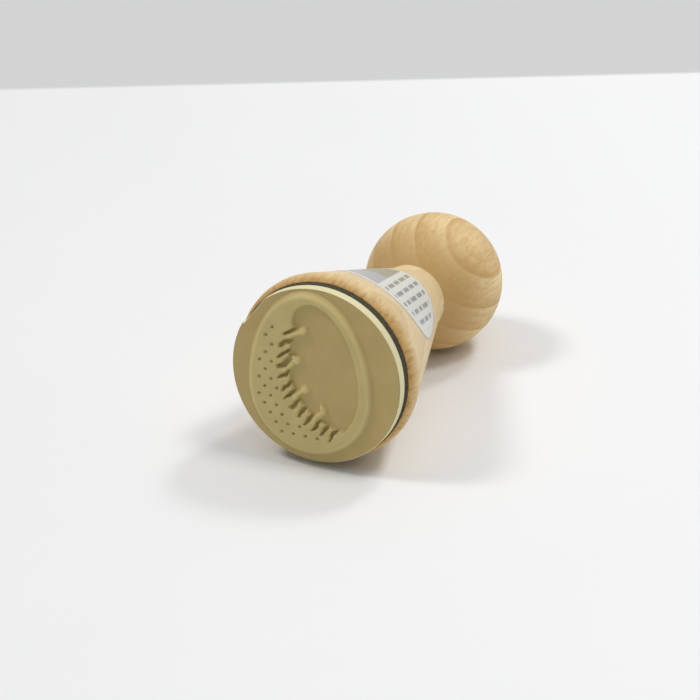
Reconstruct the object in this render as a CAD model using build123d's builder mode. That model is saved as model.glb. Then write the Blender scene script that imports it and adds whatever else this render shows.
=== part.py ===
"""Clay stamp: a turned beech handle with a rubber die glued under it on foam, and a round paper label.

The stamp lies on its side, as it comes to rest on a table: on the rim of its cone and on its ball.
The origin is the centre of the stamping face, the flat top of the die's relief. The face looks towards -Y,
tipped up a little, because the ball is smaller than the rim, and +Z is up.
All lengths are in millimetres. "Depth" is measured from the stamping face along the stamp's axis.
"""
import os
from math import acos, asin, atan2, ceil, cos, degrees, hypot, radians, sin, sqrt, tau

from build123d import *

# Handle, one piece of turned beech
rim_radius = 25.0  # the widest place of the cone
rim_rounding = 5.0  # radius of the rounded rim edge
rim_height = 3.3  # widest place above the wood's flat face
ball_radius = 19.7
handle_length = 95.1  # flat face to the top of the ball
neck_radius = 10.0  # where the cone meets the ball
neck_blend_radius = 11.4  # where the straight cone ends and the hollow neck begins
neck_blend_height = 7.1

# Cushion, a disc of closed-cell foam, and die, a disc of moulded rubber
cushion_radius = 23.8
cushion_thickness = 1.9
cushion_margin = 0.3  # how far the cushion's edge stands out past the die's
die_thickness = 2.8
trim_depth = 0.75  # a flat that the knife left on the die's edge
trim_angle = 143.0  # degrees, where that flat faces, from the face's right-hand side
trim_stop = 3.8  # the knife stopped this far past the flat's middle and left a step

# Relief: an egg-shaped island on the die
relief_height = 1.5
egg_half_width = 16.6
egg_upper_length = 25.4  # from the egg's widest line to its narrow end
egg_lower_length = 17.2
egg_shift_x = -1.35
egg_shift_y = -3.7
egg_lean = 3.0  # degrees
flank_width = 0.8  # the island's foot stands this far out all round
island_rounding = 0.45  # of the island's upper edge
border_width = 2.7  # the raised border round the hollow
border_tip_width = 2.0  # and at the egg's narrow end
hollow_depth = 1.3

# Row of slanting gaps cut back into the island from the hollow's round side, so that fingers stand between them
sweep_radius = 16.9
sweep_centre_x = 9.8
sweep_centre_y = 3.4
sweep_start = 140.0  # degrees
sweep_end = 258.0
gap_count = 14
gap_spacing_share = 0.85  # below 1, the steps get shorter along the sweep
gap_length = 5.0
gap_width = 1.05
gap_shift = 1.4  # the gaps' middles lie this far behind the hollow's edge
first_gap_slant = 25.0  # degrees up from the face's right-hand side
last_gap_slant = 62.0

# Every third finger reaches into the hollow and ends in a round head
long_finger_step = 3
finger_width = 1.4
head_reach = 4.4
head_radius = 1.2

# Small round pits on the island, in a staggered grid
pit_radius = 0.42
pit_depth = 0.8
pit_pitch_x = 3.35
pit_pitch_y = 2.35
pit_edge_margin = 2.3
pit_gap_margin = 4.5
pit_upper_end = 12.0

# Label, a round paper sticker wrapped on the cone
label_thickness = 0.12
label_radius = 17.4
label_middle_share = 0.511  # of the straight cone's side, from the rounded rim to the label's middle
label_turn = 63.0  # degrees up from the stamp's right-hand side
label_points = 24  # of the curve that draws its edge

die_radius = cushion_radius - cushion_margin

# Depths along the axis
die_front = relief_height
die_back = die_front + die_thickness
wood_face = die_back + cushion_thickness
rim_depth = wood_face + rim_height
ball_depth = wood_face + handle_length - ball_radius
neck_depth = ball_depth - sqrt(ball_radius**2 - neck_radius**2)
blend_depth = neck_depth - neck_blend_height

# The rim and the ball both touch the table, so the axis tips down towards the smaller ball
lie = asin((rim_radius - ball_radius) / (ball_depth - rim_depth))
face = Plane(origin=(0, 0, 0), x_dir=(1, 0, 0), z_dir=(0, -cos(lie), sin(lie)))
profile = Plane(origin=(0, 0, 0), x_dir=(1, 0, 0), z_dir=(0, sin(lie), cos(lie)))
stamp_axis = Axis(origin=(0, 0, 0), direction=(0, cos(lie), -sin(lie)))

# The rounded rim ends where the straight cone touches it
rim_centre = (rim_radius - rim_rounding, rim_depth)
rim_start_angle = asin(-rim_height / rim_rounding)
to_blend = (neck_blend_radius - rim_centre[0], blend_depth - rim_depth)
cone_angle = atan2(to_blend[1], to_blend[0]) - acos(rim_rounding / hypot(*to_blend))
cone_start = (
    rim_centre[0] + rim_rounding * cos(cone_angle),
    rim_centre[1] + rim_rounding * sin(cone_angle),
)
cone_end = (neck_blend_radius, blend_depth)

with BuildPart() as handle:
    with BuildSketch(profile):
        with BuildLine():
            flat = Line((0, wood_face), (rim_centre[0] + rim_rounding * cos(rim_start_angle), wood_face))
            rim_arc = degrees(cone_angle - rim_start_angle)
            CenterArc(rim_centre, rim_rounding, degrees(rim_start_angle), rim_arc)
            cone = Line(cone_start, cone_end)
            TangentArc(cone @ 1, (neck_radius, neck_depth), tangent=cone % 1)
            ball_start = atan2(neck_depth - ball_depth, neck_radius)
            ball = CenterArc((0, ball_depth), ball_radius, degrees(ball_start), 90 - degrees(ball_start))
            Line(ball @ 1, flat @ 0)
        make_face()
    revolve(axis=stamp_axis)
handle.part.label = "handle"


with BuildPart() as cushion:
    with BuildSketch(face.offset(-die_back)):
        Circle(cushion_radius)
    extrude(amount=-cushion_thickness)
cushion.part.label = "cushion"


def egg(inset, tip_inset):
    """The egg outline drawn in by an inset, and by another at its tip: two half ellipses of one width."""
    half_width = egg_half_width - inset
    with BuildSketch() as outline:
        with BuildLine():
            EllipticalCenterArc((0, 0), half_width, egg_upper_length - tip_inset, 0, arc_size=180)
            EllipticalCenterArc((0, 0), half_width, egg_lower_length - inset, 180, arc_size=180)
        make_face()
    return outline.sketch.moved(Location((egg_shift_x, egg_shift_y, 0), (0, 0, egg_lean)))


def from_point(point, angle, distance):
    """The point at a distance from another, at an angle in degrees."""
    return (point[0] + distance * cos(radians(angle)), point[1] + distance * sin(radians(angle)))


def inside_egg(x, y, inset):
    """Whether a point lies inside the egg drawn in by an inset."""
    across = (x - egg_shift_x) * cos(radians(egg_lean)) + (y - egg_shift_y) * sin(radians(egg_lean))
    along = (y - egg_shift_y) * cos(radians(egg_lean)) - (x - egg_shift_x) * sin(radians(egg_lean))
    length = (egg_upper_length if along > 0 else egg_lower_length) - inset
    return (across / (egg_half_width - inset)) ** 2 + (along / length) ** 2 < 1


def on_sweep(step):
    """The place and the slant of the gap at a step along the sweep, or of the finger at a half step."""
    share = (step / (gap_count - 1)) ** gap_spacing_share
    angle = sweep_start + (sweep_end - sweep_start) * share
    place = from_point((sweep_centre_x, sweep_centre_y), angle, sweep_radius + gap_shift)
    return place, first_gap_slant + (last_gap_slant - first_gap_slant) * share


gaps = [Location((*place, 0), (0, 0, slant)) for place, slant in map(on_sweep, range(gap_count))]
fingers = []
for step in range(1, gap_count - 1, long_finger_step):
    root, slant = on_sweep(step + 1 / 2)
    fingers.append(Location((*from_point(root, slant, head_reach / 2), 0), (0, 0, slant)))

# Pits wherever the staggered grid meets the plain part of the island
rows = ceil(egg_upper_length / pit_pitch_y)
columns = ceil(2 * egg_half_width / pit_pitch_x)
pits = []
for row in range(-rows, rows + 1):
    for column in range(-columns, columns + 1):
        x = (column + row % 2 / 2) * pit_pitch_x
        y = row * pit_pitch_y
        from_hollow = hypot(x - sweep_centre_x, y - sweep_centre_y) - sweep_radius
        if inside_egg(x, y, pit_edge_margin) and from_hollow > pit_gap_margin and y < pit_upper_end:
            pits.append((x, y))

with BuildPart() as die:
    with BuildSketch(face.offset(-die_front)):
        Circle(die_radius)
        with PolarLocations(die_radius, 1, start_angle=trim_angle):
            with Locations((0, trim_stop)):
                Rectangle(2 * trim_depth, die_radius, align=(Align.CENTER, Align.MAX), mode=Mode.SUBTRACT)
    extrude(amount=-die_thickness)
    with BuildSketch(face.offset(-die_front)):
        add(egg(-flank_width, -flank_width))
    with BuildSketch(face):
        add(egg(0, 0))
    loft()
    island_top = die.faces().sort_by(stamp_axis)[0]
    fillet(island_top.edges(), island_rounding)
    with BuildSketch(face):
        add(egg(border_width, border_tip_width))
        with Locations((sweep_centre_x, sweep_centre_y)):
            Circle(sweep_radius, mode=Mode.INTERSECT)
        with Locations(*gaps):
            SlotOverall(gap_length, gap_width)
        add(egg(border_width, border_tip_width), mode=Mode.INTERSECT)
        with Locations(*fingers):
            SlotCenterPoint((0, 0), (head_reach / 2, 0), finger_width, mode=Mode.SUBTRACT)
            with Locations((head_reach / 2, 0)):
                Circle(head_radius, mode=Mode.SUBTRACT)
    extrude(amount=-hollow_depth, mode=Mode.SUBTRACT)
    with BuildSketch(face):
        with Locations(*pits):
            Circle(pit_radius)
    extrude(amount=-pit_depth, mode=Mode.SUBTRACT)
die.part.label = "die"


# The label's circle is drawn flat on the unrolled cone, then wrapped and seen square to its middle
cone_length = hypot(cone_end[0] - cone_start[0], cone_end[1] - cone_start[1])
label_reach = cone_start[0] / sin(cone_angle) - cone_length * label_middle_share  # from the cone's tip
tip_depth = cone_start[1] + cone_start[0] * cos(cone_angle) / sin(cone_angle)
label_depth = tip_depth - label_reach * cos(cone_angle)
turn = radians(label_turn)
label_plane = Plane(
    origin=(0, label_depth * cos(lie), -label_depth * sin(lie)),
    x_dir=(sin(turn), -cos(turn) * sin(lie), -cos(turn) * cos(lie)),
    z_dir=(cos(turn), sin(turn) * sin(lie), sin(turn) * cos(lie)),
)


def wrapped(angle):
    """A point of the label's edge on the cone, as a place across and along the view square to the label."""
    across = label_radius * sin(angle)
    down = label_reach + label_radius * cos(angle)
    reach = hypot(across, down)
    around = atan2(across, down) / sin(cone_angle)
    return (reach * sin(cone_angle) * sin(around), tip_depth - reach * cos(cone_angle) - label_depth)


with BuildPart() as label:
    with BuildSketch(profile):
        with BuildLine():
            inside = Line(cone_start, cone_end)
            skin = (label_thickness * cos(cone_angle), label_thickness * sin(cone_angle))
            Polyline(inside @ 1, inside @ 1 + skin, inside @ 0 + skin, inside @ 0)
        make_face()
    revolve(axis=stamp_axis)
    with BuildSketch(label_plane):
        with BuildLine():
            Spline(*[wrapped(tau * i / label_points) for i in range(label_points)], periodic=True)
        make_face()
    extrude(amount=rim_radius, mode=Mode.INTERSECT)
label.part.label = "label"


os.makedirs("parts", exist_ok=True)
for piece in (handle, cushion, die, label):
    export_step(piece.part, f"parts/{piece.part.label}.step")
    print(piece.part.label, len(piece.part.solids()), round(piece.part.volume, 1))
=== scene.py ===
import math
from functools import partial

import bpy
import numpy as np
from mathutils import Matrix, Vector, noise


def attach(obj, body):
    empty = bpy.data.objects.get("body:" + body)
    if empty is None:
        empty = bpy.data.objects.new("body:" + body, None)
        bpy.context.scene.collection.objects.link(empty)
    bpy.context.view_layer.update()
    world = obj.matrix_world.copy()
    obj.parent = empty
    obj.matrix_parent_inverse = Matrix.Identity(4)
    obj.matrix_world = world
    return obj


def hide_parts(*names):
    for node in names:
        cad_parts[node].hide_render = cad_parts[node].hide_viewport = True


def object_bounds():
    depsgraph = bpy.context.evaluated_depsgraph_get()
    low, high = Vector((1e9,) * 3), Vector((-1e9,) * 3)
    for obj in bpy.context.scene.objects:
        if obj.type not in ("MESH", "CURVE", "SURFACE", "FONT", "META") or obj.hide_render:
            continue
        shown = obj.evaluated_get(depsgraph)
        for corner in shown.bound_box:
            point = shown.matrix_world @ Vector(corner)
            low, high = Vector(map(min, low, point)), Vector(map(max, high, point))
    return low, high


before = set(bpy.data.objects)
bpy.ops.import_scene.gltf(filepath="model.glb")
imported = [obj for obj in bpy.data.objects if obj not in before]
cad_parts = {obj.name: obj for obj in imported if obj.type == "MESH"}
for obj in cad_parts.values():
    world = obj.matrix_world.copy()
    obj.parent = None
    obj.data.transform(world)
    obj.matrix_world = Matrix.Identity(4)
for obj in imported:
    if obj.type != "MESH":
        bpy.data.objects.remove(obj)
cad_box = [list(corner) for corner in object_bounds()]

MM = 0.001

# Sizes of the stamp in millimetres, the same as in the part's source
RIM_RADIUS, RIM_ROUNDING, RIM_HEIGHT = 25.0, 5.0, 3.3
BALL_RADIUS, HANDLE_LENGTH = 19.7, 95.1
NECK_RADIUS, NECK_BLEND_RADIUS, NECK_BLEND_HEIGHT = 10.0, 11.4, 7.1
CUSHION_RADIUS, CUSHION_THICKNESS = 23.8, 1.9
DIE_RADIUS, DIE_THICKNESS, RELIEF_HEIGHT = 23.5, 2.8, 1.5
TRIM_DEPTH, TRIM_ANGLE, TRIM_STOP = 0.75, 143.0, 3.8
LABEL_RADIUS, LABEL_THICKNESS, LABEL_MIDDLE_SHARE, LABEL_TURN = 17.4, 0.12, 0.511, 63.0
LABEL_MAP = 40.0  # width that the label's own map covers

# The die's relief, by its tree's inputs
RELIEF = {
    "Relief height": RELIEF_HEIGHT,
    "Egg half width": 16.6,
    "Egg upper length": 25.4,
    "Egg lower length": 17.2,
    "Egg shift": (-1.35, -3.7, 0.0),
    "Egg lean": math.radians(3.0),
    "Flank width": 0.8,
    "Border width": 2.7,
    "Border tip width": 2.0,
    "Hollow depth": 1.3,
    "Sweep centre": (9.8, 3.4, 0.0),
    "Sweep radius": 16.9,
    "Sweep start": math.radians(140.0),
    "Sweep end": math.radians(258.0),
    "Gap count": 14,
    "Gap spacing share": 0.85,
    "Gap length": 5.0,
    "Gap width": 1.05,
    "Gap shift": 1.4,
    "First gap slant": math.radians(25.0),
    "Last gap slant": math.radians(62.0),
    "Long finger step": 3.0,
    "Long fingers": 4,
    "Finger width": 1.4,
    "Head reach": 4.4,
    "Head radius": 1.2,
    "Pit radius": 0.42,
    "Pit depth": 0.8,
    "Pit pitch x": 3.35,
    "Pit pitch y": 2.35,
    "Pit edge margin": 2.3,
    "Pit gap margin": 4.5,
    "Pit upper end": 12.0,
    "Pit floor": 0.2,
    # Of the looks alone: how the flank rises and rounds off, how the gaps taper, the hollow's upper end,
    # how softly edges fall and how far the row wavers
    "Brow width": 1.3,
    "Steepness": 2.1,
    "Taper": 0.36,
    "Taper start": 1.4,
    "Taper end": 3.9,
    "Tip centre": (-1.2, 14.6, 0.0),
    "Tip radius": 4.9,
    "Tip blend": 0.8,
    "Softness": 0.44,
    "Wobble": 1.9,
}

# Depths along the axis from the stamping face
DIE_BACK = RELIEF_HEIGHT + DIE_THICKNESS
WOOD_FACE = DIE_BACK + CUSHION_THICKNESS
RIM_DEPTH = WOOD_FACE + RIM_HEIGHT
BALL_DEPTH = WOOD_FACE + HANDLE_LENGTH - BALL_RADIUS
NECK_DEPTH = BALL_DEPTH - math.sqrt(BALL_RADIUS**2 - NECK_RADIUS**2)
BLEND_DEPTH = NECK_DEPTH - NECK_BLEND_HEIGHT

# The stamp's axis dips towards the ball, because rim and ball both touch the table
LIE = math.asin((RIM_RADIUS - BALL_RADIUS) / (BALL_DEPTH - RIM_DEPTH))
FACE_X = Vector((1, 0, 0))
FACE_Y = Vector((0, math.sin(LIE), math.cos(LIE)))
AXIS = Vector((0, math.cos(LIE), -math.sin(LIE)))
# From a piece's own millimetres, x and y in the stamping face and z out of it, to the frame in metres
PLACED = Matrix((FACE_X, FACE_Y, -AXIS)).transposed().to_4x4() @ Matrix.Scale(MM, 4)

# The straight cone, between the rounded rim and the hollow neck
RIM_CENTRE = RIM_RADIUS - RIM_ROUNDING
TO_BLEND = (NECK_BLEND_RADIUS - RIM_CENTRE, BLEND_DEPTH - RIM_DEPTH)
CONE_ANGLE = math.atan2(TO_BLEND[1], TO_BLEND[0]) - math.acos(RIM_ROUNDING / math.hypot(*TO_BLEND))
CONE_START = (
    RIM_CENTRE + RIM_ROUNDING * math.cos(CONE_ANGLE),
    RIM_DEPTH + RIM_ROUNDING * math.sin(CONE_ANGLE),
)
CONE_LENGTH = math.hypot(NECK_BLEND_RADIUS - CONE_START[0], BLEND_DEPTH - CONE_START[1])

# How the label lies on it, by its tree's inputs; the reach runs from the cone's tip to the label's middle
WRAP = {
    "Cone angle": CONE_ANGLE,
    "Reach": CONE_START[0] / math.sin(CONE_ANGLE) - CONE_LENGTH * LABEL_MIDDLE_SHARE,
    "Tip depth": CONE_START[1] + CONE_START[0] * math.cos(CONE_ANGLE) / math.sin(CONE_ANGLE),
    "Turn": math.radians(LABEL_TURN),
}

SMOOTH = {"interpolation_type": "SMOOTHSTEP"}  # eases a range at both ends


def fill(node, links):
    """Links or sets a node's inputs by name or number. A node given stands for its first output in use."""
    for key, value in links.items():
        named = [socket for socket in node.inputs if socket.enabled and socket.name == key]
        socket = named[0] if named else node.inputs[key]
        if isinstance(value, bpy.types.Node):
            value = next(output for output in value.outputs if output.enabled)
        if isinstance(value, bpy.types.NodeSocket):
            node.id_data.links.new(value, socket)
        else:
            socket.default_value = value


def add(tree, kind, links=None, **settings):
    """A node of a kind, with its settings and its inputs."""
    node = tree.nodes.new(kind)
    for name, value in settings.items():
        setattr(node, name, value)
    fill(node, links or {})
    return node


def colour(code):
    """An sRGB hex code as linear RGBA."""
    parts = [int(code[i:i + 2], 16) / 255 for i in (1, 3, 5)]
    return (*[c / 12.92 if c <= 0.04045 else ((c + 0.055) / 1.055) ** 2.4 for c in parts], 1.0)


def set_ramp(node, stops):
    """Writes a colour ramp's stops, (place, hex code) each."""
    elements = node.color_ramp.elements
    while len(elements) < len(stops):
        elements.new(1.0)
    for element, (place, code) in zip(elements, stops):
        element.position = place
        element.color = colour(code)
    return node


def mesh_object(name, vertices, faces, edges=()):
    """A mesh object at the origin."""
    mesh = bpy.data.meshes.new(name)
    mesh.from_pydata([tuple(v) for v in vertices], list(edges), faces)
    mesh.validate()
    thing = bpy.data.objects.new(name, mesh)
    bpy.context.scene.collection.objects.link(thing)
    return thing


def new_tree(name, sizes):
    """A tree whose named inputs are sizes and a finish, with what adds its nodes and what it is given."""
    tree = bpy.data.node_groups.new(name, "GeometryNodeTree")
    tree.interface.new_socket("Geometry", in_out="INPUT", socket_type="NodeSocketGeometry")
    tree.interface.new_socket("Geometry", in_out="OUTPUT", socket_type="NodeSocketGeometry")
    for label, size in sizes.items():
        kind = {int: "NodeSocketInt", float: "NodeSocketFloat", tuple: "NodeSocketVector"}[type(size)]
        tree.interface.new_socket(label, in_out="INPUT", socket_type=kind).default_value = size
    tree.interface.new_socket("Finish", in_out="INPUT", socket_type="NodeSocketMaterial")
    return tree, partial(add, tree), add(tree, "NodeGroupInput").outputs


def hand_out(new, given, geometry):
    """Ends a tree: what it has grown is made real, gets its finish and goes out."""
    real = new("GeometryNodeRealizeInstances", {0: geometry})
    done = new("GeometryNodeSetMaterial", {"Geometry": real, "Material": given["Finish"]})
    new("NodeGroupOutput", {0: done})


def grown(thing, tree, values, matrix):
    """Runs a geometry tree on an object and leaves the result as its plain mesh, put in place by a matrix."""
    modifier = thing.modifiers.new("grow", "NODES")
    modifier.node_group = tree
    for item in tree.interface.items_tree:
        if item.in_out == "INPUT" and item.name in values:
            modifier[item.identifier] = values[item.name]
    bpy.context.view_layer.update()
    evaluated = thing.evaluated_get(bpy.context.evaluated_depsgraph_get())
    mesh = bpy.data.meshes.new_from_object(evaluated)
    thing.modifiers.clear()
    thing.data = mesh
    mesh.name = thing.name
    mesh.transform(matrix)
    for polygon in mesh.polygons:
        polygon.use_smooth = True


def turned_tree():
    """A body turned on a lathe: the outline, a chain of points at x from the axis, goes round the z axis."""
    tree, new, given = new_tree("turned", {"Steps round": 256})
    points = new("GeometryNodeAttributeDomainSize", {0: given["Geometry"]})
    columns = new("ShaderNodeMath", {0: given["Steps round"], 1: 1.0}, operation="ADD")
    sheet = new("GeometryNodeMeshGrid", {"Vertices X": points, "Vertices Y": columns})
    index = new("GeometryNodeInputIndex")
    row = new("ShaderNodeMath", {0: index, 1: columns}, operation="DIVIDE")
    row = new("ShaderNodeMath", {0: row}, operation="FLOOR")
    step = new("ShaderNodeMath", {0: index, 1: columns}, operation="FLOORED_MODULO")
    turn = new("ShaderNodeMath", {0: step, 1: given["Steps round"]}, operation="DIVIDE")
    turn = new("ShaderNodeMath", {0: turn, 1: math.tau}, operation="MULTIPLY")
    place = new("GeometryNodeInputPosition")
    outline = new("GeometryNodeSampleIndex", {"Geometry": given["Geometry"], "Value": place, "Index": row},
                  data_type="FLOAT_VECTOR")
    spun = new("ShaderNodeVectorRotate", {"Vector": outline, "Angle": turn}, rotation_type="Z_AXIS")
    moved = new("GeometryNodeSetPosition", {"Geometry": sheet, "Position": spun})
    closed = new("GeometryNodeMergeByDistance", {"Geometry": moved, "Distance": 1e-4})
    hand_out(new, given, closed)
    return tree


def wrapped_tree():
    """A flat piece wrapped round a cone: y runs down the cone's side away from its tip, x runs round it."""
    tree, new, given = new_tree("wrapped", WRAP)
    flat = new("ShaderNodeSeparateXYZ", {0: new("GeometryNodeInputPosition")}).outputs
    sine = new("ShaderNodeMath", {0: given["Cone angle"]}, operation="SINE")
    cosine = new("ShaderNodeMath", {0: given["Cone angle"]}, operation="COSINE")
    down = new("ShaderNodeMath", {0: flat["Y"], 1: given["Reach"]}, operation="ADD")
    flat_place = new("ShaderNodeCombineXYZ", {"X": flat["X"], "Y": down})
    reach = new("ShaderNodeVectorMath", {0: flat_place}, operation="LENGTH")
    swing = new("ShaderNodeMath", {0: flat["X"], 1: down}, operation="ARCTAN2")
    around = new("ShaderNodeMath", {0: swing, 1: sine}, operation="DIVIDE")
    around = new("ShaderNodeMath", {0: around, 1: given["Turn"]}, operation="ADD")
    lift = new("ShaderNodeMath", {0: flat["Z"], 1: cosine}, operation="MULTIPLY")
    radius = new("ShaderNodeMath", {0: reach, 1: sine, 2: lift}, operation="MULTIPLY_ADD")
    rise = new("ShaderNodeMath", {0: flat["Z"], 1: sine}, operation="MULTIPLY")
    along = new("ShaderNodeMath", {0: reach, 1: cosine}, operation="MULTIPLY")
    along = new("ShaderNodeMath", {0: along, 1: given["Tip depth"]}, operation="SUBTRACT")
    along = new("ShaderNodeMath", {0: along, 1: rise}, operation="SUBTRACT")
    place = new("ShaderNodeCombineXYZ", {"X": radius, "Z": along})
    spun = new("ShaderNodeVectorRotate", {"Vector": place, "Angle": around}, rotation_type="Z_AXIS")
    moved = new("GeometryNodeSetPosition", {"Geometry": given["Geometry"], "Position": spun})
    hand_out(new, given, moved)
    return tree


def relief_tree():
    """The die's relief: the flat face is lifted by the egg and lowered by its hollow, gaps and pits."""
    tree, new, given = new_tree("relief", RELIEF)
    place = new("GeometryNodeInputPosition")
    spread = new("ShaderNodeSeparateXYZ", {0: place}).outputs
    index = new("GeometryNodeInputIndex")

    # The egg: two half ellipses of one width, standing a little tilted
    from_egg = new("ShaderNodeVectorMath", {0: place, 1: given["Egg shift"]}, operation="SUBTRACT")
    upright = new("ShaderNodeVectorRotate", {"Vector": from_egg, "Angle": given["Egg lean"]},
                  rotation_type="Z_AXIS", invert=True)
    at = new("ShaderNodeSeparateXYZ", {0: upright}).outputs
    upper = new("ShaderNodeMath", {0: at["Y"], 1: 0.0}, operation="GREATER_THAN")
    flat = new("ShaderNodeCombineXYZ", {"X": at["X"], "Y": at["Y"]})
    ray = new("ShaderNodeVectorMath", {0: flat}, operation="LENGTH")

    def inside_egg(inset, tip_inset):
        """How far a point lies inside the egg drawn in by an inset, along the ray from the egg's middle."""
        half = new("ShaderNodeMath", {0: given["Egg half width"], 1: inset}, operation="SUBTRACT")
        tip = new("ShaderNodeMath", {0: given["Egg upper length"], 1: tip_inset}, operation="SUBTRACT")
        blunt = new("ShaderNodeMath", {0: given["Egg lower length"], 1: inset}, operation="SUBTRACT")
        length = new("GeometryNodeSwitch", {0: upper, 1: blunt, 2: tip}, input_type="FLOAT")
        across = new("ShaderNodeMath", {0: at["X"], 1: half}, operation="DIVIDE")
        along = new("ShaderNodeMath", {0: at["Y"], 1: length}, operation="DIVIDE")
        share = new("ShaderNodeCombineXYZ", {"X": across, "Y": along})
        share = new("ShaderNodeVectorMath", {0: share}, operation="LENGTH")
        outline = new("ShaderNodeMath", {0: ray, 1: share}, operation="DIVIDE")
        return new("ShaderNodeMath", {0: outline, 1: ray}, operation="SUBTRACT")

    # Its flank rises steeply from a sharp foot and rounds off into the flat top
    inside = inside_egg(0.0, 0.0)
    foot = new("ShaderNodeMath", {0: given["Flank width"], 1: -1.0}, operation="MULTIPLY")
    left_to_rise = new("ShaderNodeMapRange", {"Value": inside, "From Min": foot,
                       "From Max": given["Brow width"], "To Min": 1.0, "To Max": 0.0})
    left_to_rise = new("ShaderNodeMath", {0: left_to_rise, 1: given["Steepness"]}, operation="POWER")
    island = new("ShaderNodeMath", {0: 1.0, 1: left_to_rise}, operation="SUBTRACT")

    # The hollow's round side, and its upper end, which runs on round into the egg's tip
    span = new("ShaderNodeVectorMath", {0: place, 1: given["Sweep centre"]}, operation="DISTANCE")
    within = new("ShaderNodeMath", {0: given["Sweep radius"], 1: span}, operation="SUBTRACT")
    behind = new("ShaderNodeMath", {0: within, 1: -1.0}, operation="MULTIPLY")
    far = new("ShaderNodeVectorMath", {0: place, 1: given["Tip centre"]}, operation="DISTANCE")
    in_tip = new("ShaderNodeMath", {0: given["Tip radius"], 1: far}, operation="SUBTRACT")
    wide = new("ShaderNodeMath", {0: within, 1: in_tip, 2: given["Tip blend"]}, operation="SMOOTH_MAX")

    # The row wavers a little, as carved by hand
    waver = new("ShaderNodeTexNoise", {"Vector": place, "Scale": 0.36, "Detail": 1.0}).outputs["Color"]
    waver = new("ShaderNodeVectorMath", {0: waver, 1: (0.5, 0.5, 0.5)}, operation="SUBTRACT")
    waver = new("ShaderNodeVectorMath", {0: waver, "Scale": given["Wobble"]}, operation="SCALE")
    waver = new("ShaderNodeVectorMath", {0: waver, 1: (1.0, 1.0, 0.0)}, operation="MULTIPLY")
    wavering = new("ShaderNodeVectorMath", {0: place, 1: waver}, operation="ADD")

    def along_sweep(step, count):
        """Points behind the hollow's edge at steps along the sweep, and the turn of what stands on them."""
        last = new("ShaderNodeMath", {0: given["Gap count"], 1: 1.0}, operation="SUBTRACT")
        share = new("ShaderNodeMath", {0: step, 1: last}, operation="DIVIDE")
        share = new("ShaderNodeMath", {0: share, 1: given["Gap spacing share"]}, operation="POWER")
        turn = new("ShaderNodeMapRange", {"Value": share, "To Min": given["Sweep start"],
                   "To Max": given["Sweep end"]}, clamp=False)
        slant = new("ShaderNodeMapRange", {"Value": share, "To Min": given["First gap slant"],
                    "To Max": given["Last gap slant"]}, clamp=False)
        arm = new("ShaderNodeMath", {0: given["Sweep radius"], 1: given["Gap shift"]}, operation="ADD")
        arm = new("ShaderNodeCombineXYZ", {"X": arm})
        spot = new("ShaderNodeVectorRotate", {"Vector": arm, "Angle": turn}, rotation_type="Z_AXIS")
        spot = new("ShaderNodeVectorMath", {0: spot, 1: given["Sweep centre"]}, operation="ADD")
        points = new("GeometryNodePoints", {"Count": count, "Position": spot})
        return points, new("ShaderNodeCombineXYZ", {"Z": slant})

    def distance_to(points, turn, thing, element):
        """How far a point of the face is from the copies of a thing on points, with a little waver."""
        copies = new("GeometryNodeInstanceOnPoints", {"Points": points, "Instance": thing, "Rotation": turn})
        copies = new("GeometryNodeRealizeInstances", {0: copies})
        if element == "EDGES":
            copies = new("GeometryNodeCurveToMesh", {0: copies})
        return new("GeometryNodeProximity", {0: copies, "Sample Position": wavering},
                   target_element=element).outputs["Distance"]

    # Gaps, short slanting lines cut back from the hollow into the island
    gap_spots, gap_turn = along_sweep(index, given["Gap count"])
    half = new("ShaderNodeMath", {0: given["Gap length"], 1: given["Gap width"]}, operation="SUBTRACT")
    half = new("ShaderNodeMath", {0: half, 1: 0.5}, operation="MULTIPLY")
    end = new("ShaderNodeCombineXYZ", {"X": half})
    start = new("ShaderNodeVectorMath", {0: end, "Scale": -1.0}, operation="SCALE")
    stroke = new("GeometryNodeCurvePrimitiveLine", {"Start": start, "End": end})
    to_gap = distance_to(gap_spots, gap_turn, stroke, "EDGES")
    half_gap = new("ShaderNodeMath", {0: given["Gap width"], 1: 0.5}, operation="MULTIPLY")
    in_gap = new("ShaderNodeMath", {0: half_gap, 1: to_gap}, operation="SUBTRACT")
    # They narrow away from the hollow's edge
    taper = new("ShaderNodeMapRange", {"Value": behind, "From Min": given["Taper start"],
                "From Max": given["Taper end"], "To Max": given["Taper"]})
    in_gap = new("ShaderNodeMath", {0: in_gap, 1: taper}, operation="SUBTRACT")

    # Every third finger, from the one past the second gap on, reaches into the hollow with a round head
    step = new("ShaderNodeMath", {0: index, 1: given["Long finger step"], 2: 1.5}, operation="MULTIPLY_ADD")
    roots, root_turn = along_sweep(step, given["Long fingers"])
    tip = new("ShaderNodeCombineXYZ", {"X": given["Head reach"]})
    finger = new("GeometryNodeCurvePrimitiveLine", {"End": tip})
    head = new("GeometryNodePoints", {"Count": 1, "Position": tip})
    to_finger = distance_to(roots, root_turn, finger, "EDGES")
    half_finger = new("ShaderNodeMath", {0: given["Finger width"], 1: 0.5}, operation="MULTIPLY")
    from_finger = new("ShaderNodeMath", {0: to_finger, 1: half_finger}, operation="SUBTRACT")
    to_head = distance_to(roots, root_turn, head, "POINTS")
    from_head = new("ShaderNodeMath", {0: to_head, 1: given["Head radius"]}, operation="SUBTRACT")
    from_finger = new("ShaderNodeMath", {0: from_finger, 1: from_head}, operation="MINIMUM")

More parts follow.
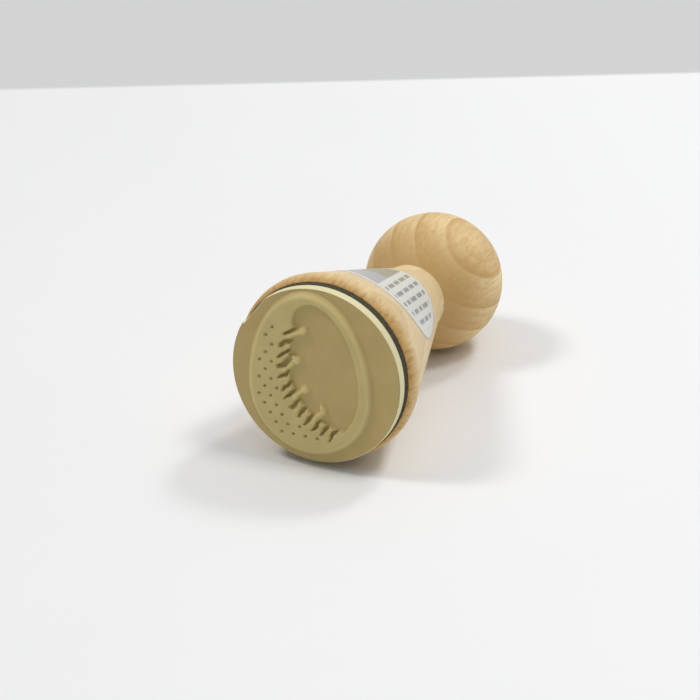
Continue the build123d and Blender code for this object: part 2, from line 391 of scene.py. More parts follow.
    # The hollow and the gaps, inside the border; the long fingers stand in it with domed tops
    low = new("ShaderNodeMath", {0: wide, 1: in_gap}, operation="MAXIMUM")
    past_border = inside_egg(given["Border width"], given["Border tip width"])
    low = new("ShaderNodeMath", {0: low, 1: past_border}, operation="MINIMUM")
    shoulder = new("ShaderNodeMath", {0: given["Softness"], 1: -1.0}, operation="MULTIPLY")
    hollow = new("ShaderNodeMapRange", {"Value": low, "From Min": shoulder, "From Max": given["Softness"]},
                 **SMOOTH)
    crest = new("ShaderNodeMath", {0: given["Softness"], 1: -2.0}, operation="MULTIPLY")
    off_finger = new("ShaderNodeMapRange", {"Value": from_finger, "From Min": crest,
                     "From Max": given["Softness"]}, **SMOOTH)
    hollow = new("ShaderNodeMath", {0: hollow, 1: off_finger}, operation="MINIMUM")

    # The row for the finish's painted shade and painted highlight: 1 on a long finger's crest, -1 in a gap
    # behind the hollow's edge
    back = new("ShaderNodeMapRange", {"Value": wide, "From Min": 0.7, "From Max": -0.5})
    groove = new("ShaderNodeMath", {0: hollow, 1: back}, operation="MULTIPLY")
    painted_light_share = new("ShaderNodeMath", {0: 1.0, 1: off_finger}, operation="SUBTRACT")
    painted_light_share = new("ShaderNodeMath", {0: painted_light_share, 1: groove}, operation="SUBTRACT")

    # Pits with a soft edge: a staggered grid of points, of which those on the plain part of the egg stay
    rows, columns = 23, 21
    line = new("ShaderNodeMath", {0: index, 1: float(columns)}, operation="DIVIDE")
    line = new("ShaderNodeMath", {0: line}, operation="FLOOR")
    line = new("ShaderNodeMath", {0: line, 1: rows // 2}, operation="SUBTRACT")
    seat = new("ShaderNodeMath", {0: index, 1: float(columns)}, operation="FLOORED_MODULO")
    seat = new("ShaderNodeMath", {0: seat, 1: columns // 2}, operation="SUBTRACT")
    odd = new("ShaderNodeMath", {0: line, 1: 2.0}, operation="FLOORED_MODULO")
    seat = new("ShaderNodeMath", {0: odd, 1: 0.5, 2: seat}, operation="MULTIPLY_ADD")
    pit_x = new("ShaderNodeMath", {0: seat, 1: given["Pit pitch x"]}, operation="MULTIPLY")
    pit_y = new("ShaderNodeMath", {0: line, 1: given["Pit pitch y"]}, operation="MULTIPLY")
    pit_spot = new("ShaderNodeCombineXYZ", {"X": pit_x, "Y": pit_y})
    pits = new("GeometryNodePoints", {"Count": rows * columns, "Position": pit_spot})
    for value, limit, unwanted in (
        (inside, "Pit edge margin", "LESS_THAN"),
        (behind, "Pit gap margin", "LESS_THAN"),
        (spread["Y"], "Pit upper end", "GREATER_THAN"),
    ):
        unwanted = new("ShaderNodeMath", {0: value, 1: given[limit]}, operation=unwanted)
        pits = new("GeometryNodeDeleteGeometry", {0: pits, 1: unwanted})
    to_pit = new("GeometryNodeProximity", {0: pits}, target_element="POINTS").outputs["Distance"]
    pit_edge = new("ShaderNodeMath", {0: given["Pit radius"], 1: 1.35}, operation="MULTIPLY")
    pit = new("ShaderNodeMapRange", {"Value": to_pit, "From Min": pit_edge, "From Max": given["Pit floor"]},
              **SMOOTH)

    # Lift of the face, kept as an attribute for the finish as well
    lift = new("ShaderNodeMath", {0: island, 1: given["Relief height"]}, operation="MULTIPLY")
    drop = new("ShaderNodeMath", {0: hollow, 1: given["Hollow depth"]}, operation="MULTIPLY")
    drop = new("ShaderNodeMath", {0: pit, 1: given["Pit depth"], 2: drop}, operation="MULTIPLY_ADD")
    lift = new("ShaderNodeMath", {0: lift, 1: drop}, operation="SUBTRACT")
    on_face = new("ShaderNodeMath", {0: spread["Z"], 1: -0.001}, operation="GREATER_THAN")
    lift = new("ShaderNodeMath", {0: lift, 1: on_face}, operation="MULTIPLY")
    kept = given["Geometry"]
    # The row attribute carries the finish's painted shade and painted highlight
    for name, value in (("relief", lift), ("row", painted_light_share)):
        kept = new("GeometryNodeStoreNamedAttribute", {"Geometry": kept, "Name": name, "Value": value},
                   data_type="FLOAT", domain="POINT")
    push = new("ShaderNodeCombineXYZ", {"Z": lift})
    moved = new("GeometryNodeSetPosition", {"Geometry": kept, "Offset": push})
    hand_out(new, given, moved)
    return tree


def arc(centre_depth, centre_radius, radius, start, end, steps):
    """Points (distance from the axis, depth) along an arc; angle 0 points out and 90 to the ball's end."""
    angles = [start + (end - start) * i / steps for i in range(steps + 1)]
    return [(centre_radius + radius * math.cos(a), centre_depth + radius * math.sin(a)) for a in angles]


def handle_outline():
    """Half the handle's section, from the middle of its flat face round the rim, cone, neck and ball."""
    rim_steps, cone_steps, neck_steps, ball_steps = 28, 24, 16, 72
    rim_start = math.asin(-RIM_HEIGHT / RIM_ROUNDING)
    rim = arc(RIM_DEPTH, RIM_CENTRE, RIM_ROUNDING, rim_start, CONE_ANGLE, rim_steps)
    # The last point on the flat face stands close to its edge and keeps that sharp
    flat = [(r, WOOD_FACE) for r in (0.0, 12.0, 22.0, rim[0][0] - 0.15)]
    blend = Vector((NECK_BLEND_RADIUS, BLEND_DEPTH))
    cone = [tuple(Vector(CONE_START).lerp(blend, i / cone_steps)) for i in range(1, cone_steps + 1)]
    chord = Vector((NECK_RADIUS, NECK_DEPTH)) - blend
    outward = Vector((math.cos(CONE_ANGLE), math.sin(CONE_ANGLE)))
    bend = chord.length_squared / (2 * chord.dot(outward))
    middle = blend + outward * bend
    far = Vector((NECK_RADIUS, NECK_DEPTH)) - middle
    start, end = CONE_ANGLE + math.pi, math.atan2(far[1], far[0]) % math.tau
    neck = arc(middle[1], middle[0], bend, start, end, neck_steps)[1:]
    ball_start = math.atan2(NECK_DEPTH - BALL_DEPTH, NECK_RADIUS)
    ball = arc(BALL_DEPTH, 0.0, BALL_RADIUS, ball_start, math.pi / 2, ball_steps)[1:]
    # Two points close beside the one where neck and ball meet keep that crease sharp
    crease = [(NECK_RADIUS + 0.02, NECK_DEPTH - 0.12), neck[-1], (NECK_RADIUS + 0.06, NECK_DEPTH + 0.06)]
    ball[-1] = (0.0, BALL_DEPTH + BALL_RADIUS)
    return flat + rim + cone + neck[:-1] + crease + ball


def outline_object(name, outline):
    """A chain of points, (distance from the axis, depth) each, as the mesh that is turned."""
    steps = [(i, i + 1) for i in range(len(outline) - 1)]
    return mesh_object(name, [(r, 0.0, -depth) for r, depth in outline], [], steps)


def faces_outward(thing):
    """Turns a closed shell whose volume comes out negative."""
    mesh = thing.data
    mesh.calc_loop_triangles()
    corners = np.zeros(len(mesh.vertices) * 3)
    mesh.vertices.foreach_get("co", corners)
    corners = corners.reshape(-1, 3)
    picks = np.zeros(len(mesh.loop_triangles) * 3, np.int32)
    mesh.loop_triangles.foreach_get("vertices", picks)
    a, b, c = (corners[picks.reshape(-1, 3)[:, i]] for i in range(3))
    if np.einsum("ij,ij->i", a, np.cross(b, c)).sum() < 0:
        mesh.flip_normals()


def finished(thing, node):
    """Puts a piece in place of its solid."""
    faces_outward(thing)
    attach(thing, "root")
    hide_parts(node)


def die_edge(angle):
    """The die's radius at an angle: round, but for the knife's flat and the step where the knife stopped."""
    from_trim = (angle - math.radians(TRIM_ANGLE) + math.pi) % math.tau - math.pi
    cut = DIE_RADIUS - TRIM_DEPTH
    if abs(from_trim) < 1 and cut * math.tan(from_trim) < TRIM_STOP:
        return min(cut / math.cos(from_trim), DIE_RADIUS)
    return DIE_RADIUS


def die_disc():
    """The die before its relief: an even grid over the face, a rounded edge, the wall and the back."""
    across, rounding = 280, 0.3
    steps = np.linspace(-1, 1, across + 1)
    u, v = np.meshgrid(steps, steps, indexing="ij")
    x, y = u * np.sqrt(1 - v**2 / 2), v * np.sqrt(1 - u**2 / 2)
    far = np.hypot(x, y)
    edge = np.vectorize(die_edge)(np.arctan2(y, x))
    # The twelfth power keeps the flat's pull on the grid close to the edge
    reach = DIE_RADIUS - rounding + (edge - DIE_RADIUS) * far**12
    points = [(a, b, 0.0) for a, b in zip((x * reach).ravel(), (y * reach).ravel())]
    face_count = len(points)
    index = np.arange(face_count).reshape(across + 1, across + 1)
    corners = (index[:-1, :-1], index[1:, :-1], index[1:, 1:], index[:-1, 1:])
    faces = [tuple(int(i) for i in quad) for quad in zip(*(c.ravel() for c in corners))]
    loop = [int(i) for i in (*index[:-1, 0], *index[-1, :-1], *index[:0:-1, -1], *index[0, :0:-1])]
    angles = [math.atan2(points[i][1], points[i][0]) for i in loop]
    # Loops of the edge, the wall and the back: how far in from the die's radius, and how high
    bends = np.radians([18, 36, 54, 72, 90])
    wall = [(rounding * (1 - math.sin(a)), rounding * (math.cos(a) - 1)) for a in bends]
    wall += [(0.0, -0.9), (0.0, -1.6), (0.0, -2.3), (0.0, 0.15 - DIE_THICKNESS), (0.15, -DIE_THICKNESS)]
    for inset, height in wall:
        following = list(range(len(points), len(points) + len(loop)))
        for i, angle in enumerate(angles):
            radius = die_edge(angle) - inset
            points.append((radius * math.cos(angle), radius * math.sin(angle), height))
            j = (i + 1) % len(loop)
            faces.append((loop[i], loop[j], following[j], following[i]))
        loop = following
    points.append((0.0, 0.0, -DIE_THICKNESS))
    faces += [(loop[i], loop[(i + 1) % len(loop)], len(points) - 1) for i in range(len(loop))]
    thing = mesh_object("die_rubber", points, faces)
    # The wall counts as cut from the second loop on
    on_wall = np.zeros(len(points), np.float32)
    on_wall[face_count + len(loop):] = 1
    thing.data.attributes.new("wall", "FLOAT", "POINT").data.foreach_set("value", on_wall)
    return thing


def label_disc():
    """The sticker before it is wrapped: a thin closed disc with its own map of the paper."""
    rings, steps = 26, 144
    points, faces = [], []
    for height in (0.0, LABEL_THICKNESS):
        for ring in range(1, rings + 1):
            reach = LABEL_RADIUS * ring / rings
            turns = [math.tau * i / steps for i in range(steps)]
            points += [(reach * math.cos(t), reach * math.sin(t), height) for t in turns]
    layer = rings * steps
    for base, flip in ((0, True), (layer, False)):
        for ring in range(rings - 1):
            for i in range(steps):
                j = (i + 1) % steps
                a, b = base + ring * steps, base + (ring + 1) * steps
                quad = (a + i, b + i, b + j, a + j)
                faces.append(quad[::-1] if flip else quad)
        points.append((0.0, 0.0, LABEL_THICKNESS if base else 0.0))
        middle = len(points) - 1
        for i in range(steps):
            fan = (middle, base + i, base + (i + 1) % steps)
            faces.append(fan[::-1] if flip else fan)
    edge, top = layer - steps, 2 * layer - steps
    for i in range(steps):
        j = (i + 1) % steps
        faces.append((edge + i, edge + j, top + j, top + i))
    thing = mesh_object("label_paper", points, faces)
    paper = thing.data.uv_layers.new(name="paper")
    for loop in thing.data.loops:
        x, y, _ = thing.data.vertices[loop.vertex_index].co
        paper.data[loop.index].uv = (x / LABEL_MAP + 0.5, y / LABEL_MAP + 0.5)
    return thing


def cushion_outline():
    """Half the foam disc's section: its cut edge draws in a little between the die and the wood."""
    rows, set_back, draw = 12, 0.05, 0.16
    edge = [(CUSHION_RADIUS - set_back - draw * math.sin(math.pi * i / rows),
             DIE_BACK + CUSHION_THICKNESS * i / rows) for i in range(rows + 1)]
    front = [(r, DIE_BACK) for r in (0.0, 20.0, CUSHION_RADIUS - 0.5)]
    return front + edge + [(r, WOOD_FACE) for r, _ in front[::-1]]


def roughened(thing, inner, depth, cut_back):
    """Gives the foam's cut edge its open cells: points outside an inner radius sink by up to a depth.

    Beside the die's flat the same cut took the foam as well, to a little way in from the die's edge."""
    coarse, fine = 1.9, 4.3  # cells to the millimetre
    for vertex in thing.data.vertices:
        x, y, z = vertex.co
        far = math.hypot(x, y)
        if far > inner:
            cells = 0.6 * noise.noise(vertex.co * coarse) + 0.4 * noise.noise(vertex.co * fine)
            share = 1 - depth * (0.5 + cells) / far if cells > -0.5 else 1
            trimmed = die_edge(math.atan2(y, x))
            if trimmed < DIE_RADIUS:
                share = min(share, (trimmed - cut_back) / far)
            vertex.co = (x * share, y * share, z)


def finish(name, roughness, ior=1.5):
    """A material, what adds its nodes, its shader and its coordinates."""
    material = bpy.data.materials.new(name)
    material.use_nodes = True
    shader = material.node_tree.nodes["Principled BSDF"]
    fill(shader, {"Roughness": roughness, "IOR": ior})
    new = partial(add, material.node_tree)
    return material, new, shader, new("ShaderNodeTexCoord").outputs


def coated(new, tone, *coats):
    """A tone with coats over it, (share, tone, how it is laid on) each."""
    for share, over, way in coats:
        tone = new("ShaderNodeMix", {"Factor": share, "A": tone, "B": over}, data_type="RGBA", blend_type=way)
    return tone


def beech():
    """Beech, turned and sanded, without varnish: it scatters softly, with a faint satin sheen.

    Growth rings are cylinders round a pith outside the blank, on the side that looks up at the camera,
    so the turned ball shows them as rings in rings. Brown ray flecks about 1.5 mm long follow the grain."""
    material, new, shader, coordinates = finish("beech_turned", 0.52)
    turn = math.radians(46)
    ring_way = FACE_X * math.cos(turn) + FACE_Y * math.sin(turn)
    side_way = FACE_Y * math.cos(turn) - FACE_X * math.sin(turn)
    # Millimetres: x towards the pith, y along the rings, z along the grain
    grain = new("ShaderNodeMapping", {"Vector": coordinates["Object"], "Scale": (1 / MM,) * 3,
                "Rotation": Matrix((ring_way, side_way, -AXIS)).to_euler()})

    def drawn_out(across, along, detail, roughness=0.5):
        """An unevenness drawn out along the grain, by its grains to the millimetre across it and along it."""
        place = new("ShaderNodeVectorMath", {0: grain, 1: (across, across, along)}, operation="MULTIPLY")
        return new("ShaderNodeTexNoise", {"Vector": place, "Scale": 1.0, "Detail": detail,
                   "Roughness": roughness})

    # Rings about 7 mm apart, each slowly darker outwards and then light again at once
    pith, first_ring, waver, ring_pitch, line_pitch = 70.0, 69.7, 1.6, 7.3, 2.43
    to_pith = new("ShaderNodeVectorMath", {0: grain, 1: (pith, 0.0, 0.0)}, operation="SUBTRACT")
    to_pith = new("ShaderNodeVectorMath", {0: to_pith, 1: (1.0, 1.0, 0.0)}, operation="MULTIPLY")
    age = new("ShaderNodeVectorMath", {0: to_pith}, operation="LENGTH")
    age = new("ShaderNodeMath", {0: drawn_out(0.06, 0.02, 2.0), 1: waver, 2: age}, operation="MULTIPLY_ADD")
    age = new("ShaderNodeMath", {0: age, 1: first_ring}, operation="SUBTRACT")
    years = new("ShaderNodeMath", {0: age, 1: ring_pitch}, operation="DIVIDE")
    years = new("ShaderNodeMath", {0: years}, operation="FRACT")
    ring = set_ramp(new("ShaderNodeValToRGB", {0: years}), [
        (0.0, "#F6E3B8"), (0.3, "#F1DCAF"), (0.7, "#E8CF9F"),
        (0.88, "#DDC08A"), (0.93, "#DCBE87"), (1.0, "#F5E1B5"),
    ])

    # Fainter lines between them
    lines = new("ShaderNodeMath", {0: age, 1: line_pitch}, operation="DIVIDE")
    lines = new("ShaderNodeMath", {0: lines}, operation="FRACT")
    line = set_ramp(new("ShaderNodeValToRGB", {0: lines}), [
        (0.0, "#FFFFFF"), (0.5, "#FCFAF6"), (0.8, "#F3EBDD"), (1.0, "#FFFFFF"),
    ])

    # Fine fibres along the grain, half a millimetre apart
    fibre = drawn_out(2.0, 0.11, 4.0, 0.62)
    fibre_tone = set_ramp(new("ShaderNodeValToRGB", {0: fibre}), [
        (0.32, "#EADBC2"), (0.5, "#FCF9F2"), (0.68, "#FFFFFF"),
    ])

    # Soft blotches of a few millimetres, as sanded beech shows, and a broad drift from golden to pinkish wood
    blotch = set_ramp(new("ShaderNodeValToRGB", {0: drawn_out(0.75, 0.16, 3.0)}), [
        (0.32, "#EBDFCB"), (0.6, "#FFFFFF"),
    ])
    drift = set_ramp(new("ShaderNodeValToRGB", {0: drawn_out(0.09, 0.035, 1.0)}), [
        (0.35, "#FFFBF0"), (0.65, "#FBF3EA"),
    ])

    # The cone is painted paler and pinker than the ball, a painted sheen of the bright table and room, and
    # its rings hardly stand out
    along = new("ShaderNodeSeparateXYZ", {0: grain}).outputs["Z"]
    cone_painted_sheen = new("ShaderNodeMapRange", {"Value": along, "From Min": -BALL_DEPTH + 10,
                  "From Max": -NECK_DEPTH + 2, "To Max": 0.62}, **SMOOTH)

    # End grain drinks more light: where the rim and the ball are cut across, towards the die, it is golden;
    # on the ball beside the neck this darker tone is also painted shade from the cone
    facing = new("ShaderNodeVectorMath", {0: coordinates["Normal"], 1: -AXIS}, operation="DOT_PRODUCT")
    end_grain_and_shade = new("ShaderNodeMapRange", {"Value": facing, "From Min": 0.1, "From Max": 0.8, "To Max": 0.75},
                    **SMOOTH)

    # and on the rim its fibres show as short darker streaks
    on_rim = new("ShaderNodeMapRange", {"Value": along, "From Min": -RIM_DEPTH - 2, "From Max": -WOOD_FACE,
                 "To Max": 0.8}, **SMOOTH)
    streak = set_ramp(new("ShaderNodeValToRGB", {0: drawn_out(0.95, 0.14, 3.0)}), [
        (0.34, "#CCA86A"), (0.48, "#EED7A5"), (0.62, "#F8E9C4"),
    ])

    # Ray flecks, spindles up to 1.5 mm long and 0.4 mm wide along the grain
    fleck = new("ShaderNodeVectorMath", {0: grain, 1: (0.42, 1.15, 0.3)}, operation="MULTIPLY")
    fleck = new("ShaderNodeTexVoronoi", {"Vector": fleck, "Scale": 1.0})
    spindle = new("ShaderNodeMapRange", {"Value": fleck, "From Min": 0.22, "From Max": 0.1}, **SMOOTH)
    pick = new("ShaderNodeSeparateColor", {0: fleck.outputs["Color"]})
    pick = new("ShaderNodeMapRange", {"Value": pick, "From Min": 0.55, "From Max": 1.15})
    on_fleck = new("ShaderNodeMath", {0: spindle, 1: pick}, operation="MULTIPLY")

    tone = coated(
        new, ring,
        (0.55, line, "MULTIPLY"),
        (0.75, fibre_tone, "MULTIPLY"),
        (0.6, blotch, "MULTIPLY"),
        (1.0, drift, "MULTIPLY"),
        # painted sheen: the cone's paler tone
        (cone_painted_sheen, colour("#E5D1A8"), "MIX"),
        # end grain, and painted shade on the ball beside the neck
        (end_grain_and_shade, colour("#BE954F"), "MIX"),
        (on_rim, streak, "MULTIPLY"),
        (on_fleck, colour("#B07A52"), "MIX"),
    )
    # Pores and flecks sit a few hundredths of a millimetre deep
    pore = drawn_out(7.0, 0.5, 2.0)
    height = new("ShaderNodeMath", {0: on_fleck, 1: -0.8, 2: pore}, operation="MULTIPLY_ADD")
    bump = new("ShaderNodeBump", {"Height": height, "Distance": 0.03 * MM, "Strength": 0.6})
    satin = new("ShaderNodeMapRange", {"Value": fibre, "To Min": 0.46, "To Max": 0.6})
    fill(shader, {"Base Color": tone, "Normal": bump, "Roughness": satin})
    return material


def die_rubber():
    """Khaki rubber, moulded and then cut round with a knife: dull, a little waxy, paler on the cut wall."""
    material, new, shader, coordinates = finish("rubber_moulded", 0.5, 1.52)
    place = new("ShaderNodeMapping", {"Vector": coordinates["Object"], "Scale": (1 / MM,) * 3})
    cloud = new("ShaderNodeTexNoise", {"Vector": place, "Scale": 0.16, "Detail": 3.0})
    tone = set_ramp(new("ShaderNodeValToRGB", {0: cloud}), [(0.35, "#C5B173"), (0.65, "#CBB779")])
    # Talc and wear leave the raised parts a shade lighter than the hollow and the pits
    relief = new("ShaderNodeAttribute", attribute_name="relief").outputs["Fac"]
    raised = new("ShaderNodeMapRange", {"Value": relief, "From Min": 0.1, "From Max": 1.5})
    # and rub the edges between them lighter still
    up_edge = new("ShaderNodeMapRange", {"Value": relief, "From Min": 0.4, "From Max": 1.1})
    over_edge = new("ShaderNodeMapRange", {"Value": relief, "From Min": 1.49, "From Max": 1.3,
                    "To Max": 0.32})
    worn = new("ShaderNodeMath", {0: up_edge, 1: over_edge}, operation="MULTIPLY")
    # Painted shade darkens the gaps, and a painted highlight lightens the long fingers' crests, beyond what
    # their light alone makes them
    row = new("ShaderNodeAttribute", attribute_name="row").outputs["Fac"]
    in_gap = new("ShaderNodeMapRange", {"Value": row, "From Min": -0.1, "From Max": -1.0, "To Max": 0.85})
    crest_painted_highlight = new("ShaderNodeMapRange", {"Value": row, "From Min": 0.4, "From Max": 1.0, "To Max": 0.5})
    wall = new("ShaderNodeAttribute", attribute_name="wall").outputs["Fac"]
    tone = coated(
        new, tone,
        (1.0, colour("#F0EBE0"), "MULTIPLY"),
        (raised, tone, "MIX"),
        (worn, colour("#E2D190"), "MIX"),
        # painted shade in the gaps, then a painted highlight on the crests
        (in_gap, colour("#A08C5B"), "MIX"),
        (crest_painted_highlight, colour("#E4D38F"), "MIX"),
        (wall, colour("#E6DDB0"), "MIX"),
    )
    # The mould's fine sandblast, grains of about 0.2 mm
    grains = new("ShaderNodeTexNoise", {"Vector": place, "Scale": 4.5, "Detail": 2.0})
    bump = new("ShaderNodeBump", {"Height": grains, "Distance": 0.02 * MM, "Strength": 0.5})
    dull = new("ShaderNodeMapRange", {"Value": cloud, "To Min": 0.44, "To Max": 0.58})
    fill(shader, {"Base Color": tone, "Normal": bump, "Roughness": dull})
    return material


def cushion_foam():
    """Closed-cell foam, cut with a knife: nearly black, dull, with cells of about 0.4 mm open at the cut."""
    material, new, shader, coordinates = finish("foam_cut", 0.85, 1.45)
    place = new("ShaderNodeMapping", {"Vector": coordinates["Object"], "Scale": (1 / MM,) * 3})
    cells = new("ShaderNodeTexVoronoi", {"Vector": place, "Scale": 2.5})
    tone = set_ramp(new("ShaderNodeValToRGB", {0: cells}), [
        (0.0, "#26241B"), (0.45, "#3B382A"), (0.8, "#524D39"),
    ])
    bump = new("ShaderNodeBump", {"Height": cells, "Distance": 0.15 * MM, "Strength": 0.8})
    matt = new("ShaderNodeMapRange", {"Value": cells, "To Min": 0.95, "To Max": 0.78})
    fill(shader, {"Base Color": tone, "Normal": bump, "Roughness": matt})
    return material


def label_paper():
    """Coated white paper with plain printed rows: smooth, with a soft shine.

    The print is generic: rows of grey blocks along the stamp, 3.1 mm apart, and a tinted panel."""
    material, new, shader, _ = finish("paper_coated", 0.4)
    # The paper's own millimetres: x round the cone, y down its side, turned 4 degrees as the print is
    paper = new("ShaderNodeUVMap", uv_map="paper")
    centred = new("ShaderNodeVectorMath", {0: paper, 1: (0.5, 0.5, 0.0)}, operation="SUBTRACT")
    centred = new("ShaderNodeVectorMath", {0: centred, "Scale": LABEL_MAP}, operation="SCALE")
    printed = new("ShaderNodeVectorRotate", {"Vector": centred, "Angle": math.radians(-4)},
                  rotation_type="Z_AXIS")
    at = new("ShaderNodeSeparateXYZ", {0: printed}).outputs
    from_middle = new("ShaderNodeVectorMath", {0: centred}, operation="LENGTH")

    # Rows: which row a point is in, and how far it is from the row's middle line
    pitch, first_row = 3.1, 0.3
    row = new("ShaderNodeMath", {0: at["X"], 1: -first_row}, operation="ADD")
    row = new("ShaderNodeMath", {0: row, 1: -pitch}, operation="DIVIDE")
    number = new("ShaderNodeMath", {0: row, 1: 0.5}, operation="ADD")
    number = new("ShaderNodeMath", {0: number}, operation="FLOOR")
    off = new("ShaderNodeMath", {0: row, 1: number}, operation="SUBTRACT")
    off = new("ShaderNodeMath", {0: off}, operation="ABSOLUTE")
    off = new("ShaderNodeMath", {0: off, 1: pitch}, operation="MULTIPLY")
    in_row = new("ShaderNodeMapRange", {"Value": off, "From Min": 0.85, "From Max": 0.4}, **SMOOTH)

    # Blocks: cells of about 7 mm along a row, with a gap at each side and an uneven tone within
    spot = new("ShaderNodeMath", {0: number, 1: 7.31, 2: at["Y"]}, operation="MULTIPLY_ADD")
    blocks = new("ShaderNodeTexVoronoi", {"W": spot, "Scale": 0.15, "Randomness": 0.6},
                 voronoi_dimensions="1D", feature="DISTANCE_TO_EDGE")
    in_block = new("ShaderNodeMapRange", {"Value": blocks, "From Min": 0.08, "From Max": 0.16}, **SMOOTH)
    strokes = new("ShaderNodeTexNoise", {"W": spot, "Scale": 1.3, "Detail": 0.0}, noise_dimensions="1D")
    strokes = new("ShaderNodeMapRange", {"Value": strokes, "From Min": 0.3, "From Max": 0.6, "To Min": 0.55})

    # The print keeps clear of the panel and of the paper's ends
    past_panel = new("ShaderNodeMath", {0: number, 1: -0.5}, operation="GREATER_THAN")
    reach = LABEL_RADIUS - 2.4
    clear = new("ShaderNodeMapRange", {"Value": from_middle, "From Min": reach, "From Max": reach - 0.8})
    ink = in_row
    for share in (in_block, strokes, past_panel, clear):
        ink = new("ShaderNodeMath", {0: ink, 1: share}, operation="MULTIPLY")

    # The first row is olive, the others grey, blue-grey at the last
    shade = new("ShaderNodeMath", {0: number, 1: 0.2}, operation="MULTIPLY")
    ink_tone = set_ramp(new("ShaderNodeValToRGB", {0: shade}), [
        (0.0, "#84856A"), (0.2, "#7E858A"), (0.6, "#858A84"), (0.8, "#8388A0"),
    ])

    # Tinted panel past the first row, grey towards the rim and olive-brown towards the neck, in a margin
    start, reach = 2.6, LABEL_RADIUS - 1.5
    panel = new("ShaderNodeMapRange", {"Value": at["X"], "From Min": start, "From Max": start + 0.3})
    margin = new("ShaderNodeMapRange", {"Value": from_middle, "From Min": reach, "From Max": reach - 0.3})
    panel = new("ShaderNodeMath", {0: panel, 1: margin}, operation="MULTIPLY")
    drift = new("ShaderNodeTexNoise", {"Vector": printed, "Scale": 0.5, "Detail": 1.0})
    blend = new("ShaderNodeMath", {0: drift, 1: 5.0, 2: at["Y"]}, operation="MULTIPLY_ADD")
    blend = new("ShaderNodeMapRange", {"Value": blend, "From Min": 2.5, "From Max": 5.5}, **SMOOTH)
    panel_tone = new("ShaderNodeMix", {"Factor": blend, "A": colour("#A5A08A"), "B": colour("#B5B3B3")},
                     data_type="RGBA")

    # A thin lilac line runs round just inside the edge
    line = new("ShaderNodeMath", {0: from_middle, 1: LABEL_RADIUS - 0.25}, operation="SUBTRACT")
    line = new("ShaderNodeMath", {0: line}, operation="ABSOLUTE")
    line = new("ShaderNodeMapRange", {"Value": line, "From Min": 0.25, "From Max": 0.1})
    tone = coated(
        new, colour("#E2E2DC"),
        (ink, ink_tone, "MIX"),
        (panel, panel_tone, "MIX"),
        (line, colour("#C9BCCB"), "MIX"),
    )
    # The pulp under the coat leaves it faintly uneven, in patches of a millimetre
    pulp = new("ShaderNodeTexNoise", {"Vector": centred, "Scale": 0.9, "Detail": 2.0})
    shine = new("ShaderNodeMapRange", {"Value": pulp, "To Min": 0.33, "To Max": 0.45})
    bump = new("ShaderNodeBump", {"Height": pulp, "Distance": 0.02 * MM, "Strength": 0.4})
    fill(shader, {"Base Color": tone, "Normal": bump, "Roughness": shine})
    return material


# The pieces, each in place of its solid
turned = turned_tree()
handle = outline_object("handle_beech", handle_outline())
grown(handle, turned, {"Steps round": 288, "Finish": beech()}, PLACED)
finished(handle, "handle")

cushion = outline_object("cushion_foam", cushion_outline())
grown(cushion, turned, {"Steps round": 640, "Finish": cushion_foam()}, Matrix.Identity(4))
roughened(cushion, CUSHION_RADIUS - 0.3, depth=0.22, cut_back=0.4)
cushion.data.transform(PLACED)
finished(cushion, "cushion")

die = die_disc()
on_die = Matrix.Translation((0, 0, -RELIEF_HEIGHT))
grown(die, relief_tree(), {**RELIEF, "Finish": die_rubber()}, PLACED @ on_die)
finished(die, "die")

label = label_disc()
grown(label, wrapped_tree(), {**WRAP, "Finish": label_paper()}, PLACED)
finished(label, "label")

# Camera, where the photograph's was, with its focal length and its frame's width in pixels
FOCAL, FRAME = 2000, 700
EYE = Vector((194.36, -407.24, 227.67)) * MM
RIGHT, UP = Vector((0.9113, 0.4117, 0.0)), Vector((-0.1802, 0.3989, 0.8991))
AHEAD = Vector((-0.3701, 0.8194, -0.4377))
camera = bpy.data.objects.new("camera", bpy.data.cameras.new("camera"))
bpy.context.scene.collection.objects.link(camera)
camera.matrix_world = Matrix.Translation(EYE) @ Matrix((RIGHT, UP, -AHEAD)).transposed().to_4x4()
camera.data.lens = camera.data.sensor_width * FOCAL / FRAME
camera.data.clip_end = 50
bpy.context.scene.camera = camera

# Table and backdrop: one level surface, white up to the table's far edge and light grey past it
FLOOR = cad_box[0][2]
TABLE_REACH = 6.0  # metres
EDGE_LEFT, EDGE_RIGHT = (0, 90), (700, 73)  # where that edge meets the frame's sides


def on_floor(across, down):
    """Where a pixel of the photograph's frame meets the floor."""
    ray = AHEAD + RIGHT * ((across - FRAME / 2) / FOCAL) - UP * ((down - FRAME / 2) / FOCAL)
    return EYE + ray * ((FLOOR - EYE.z) / ray.z)


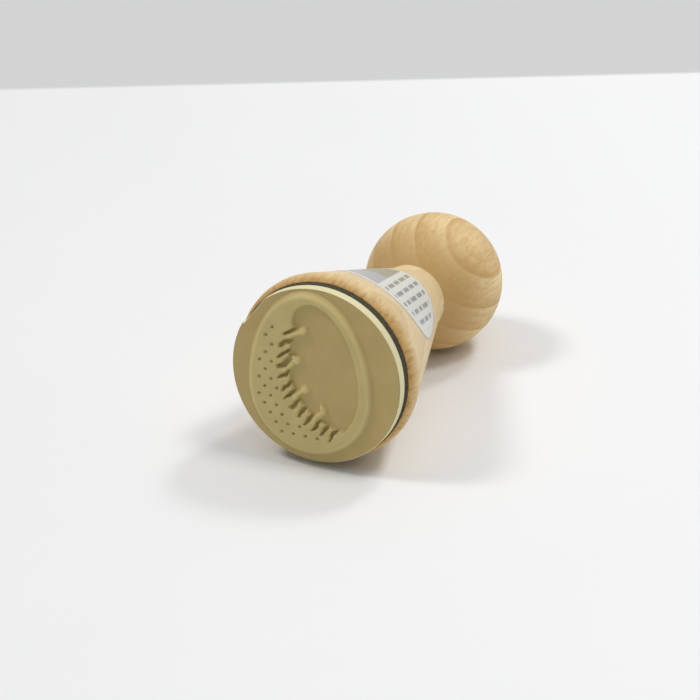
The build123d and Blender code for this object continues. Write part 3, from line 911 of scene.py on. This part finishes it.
def table_paint():
    """Matt white board up to a straight edge, light grey card beyond it, both faintly mottled."""
    material, new, shader, coordinates = finish("table_board", 0.85)
    left, right = on_floor(*EDGE_LEFT), on_floor(*EDGE_RIGHT)
    along = (right - left).normalized()
    past = Vector((-along.y, along.x, 0))
    from_edge = new("ShaderNodeVectorMath", {0: coordinates["Object"], 1: left}, operation="SUBTRACT")
    beyond = new("ShaderNodeVectorMath", {0: from_edge, 1: past}, operation="DOT_PRODUCT")
    card = new("ShaderNodeMapRange", {"Value": beyond, "From Min": -0.001, "From Max": 0.002})
    mottle = new("ShaderNodeTexNoise", {"Vector": coordinates["Object"], "Scale": 6.0, "Detail": 3.0})
    white = set_ramp(new("ShaderNodeValToRGB", {0: mottle}), [(0.3, "#ECECEC"), (0.7, "#EFEFEF")])
    # Painted light: the board is painted whiter to the right, over a quarter of a metre
    across = new("ShaderNodeVectorMath", {0: from_edge, 1: along}, operation="DOT_PRODUCT")
    side = new("ShaderNodeMapRange", {"Value": across, "From Max": 0.25, "To Max": 0.55})
    tone = coated(new, white, (side, colour("#FFFFFF"), "MIX"), (card, colour("#D1D1D1"), "MIX"))
    fill(shader, {"Base Color": tone})
    return material


corners = [(x * TABLE_REACH, y * TABLE_REACH, FLOOR) for x, y in ((-1, -1), (1, -1), (1, 1), (-1, 1))]
table = mesh_object("table", corners, [(0, 1, 2, 3)])
table.data.materials.append(table_paint())


def lamp(name, side, height, width, level):
    """A soft lamp far away. Side is in degrees from the stamp's front round to its right, and level is the
    share of plain light that it gives to the table."""
    data = bpy.data.lights.new(name, "SUN")
    data.angle = math.radians(width)
    side, height = math.radians(side), math.radians(height)
    data.energy = math.pi * level / math.sin(height)
    thing = bpy.data.objects.new(name, data)
    way = Vector((math.sin(side) * math.cos(height), -math.cos(side) * math.cos(height), math.sin(height)))
    thing.rotation_euler = way.to_track_quat("Z", "Y").to_euler()
    bpy.context.scene.collection.objects.link(thing)


lamp("lamp_front", 30, 50, 20, 0.03)
lamp("lamp_right", 106, 65, 14, 0.22)
lamp("lamp_back", 158, 53, 10, 0.15)
lamp("lamp_left", 294, 54, 14, 0.21)
lamp("lamp_top", 170, 80, 100, 0.19)

# The room: a low even light, and a plain grey where the camera or a reflection sees past the table
world = bpy.data.worlds.new("room")
bpy.context.scene.world = world
world.use_nodes = True
world.node_tree.nodes.clear()
new = partial(add, world.node_tree)
glow = new("ShaderNodeBackground", {"Color": colour("#F8FAFF"), "Strength": 0.2})
shown = new("ShaderNodeBackground", {"Color": colour("#D5D5D5")})
path = new("ShaderNodeLightPath").outputs
seen = new("ShaderNodeMath", {0: path["Is Camera Ray"], 1: path["Is Glossy Ray"]}, operation="MAXIMUM")
seen = new("ShaderNodeMath", {0: seen, 1: path["Is Transmission Ray"]}, operation="MAXIMUM")
new("ShaderNodeOutputWorld", {0: new("ShaderNodeMixShader", {0: seen, 1: glow, 2: shown})})

bpy.context.scene.view_settings.view_transform = "Standard"
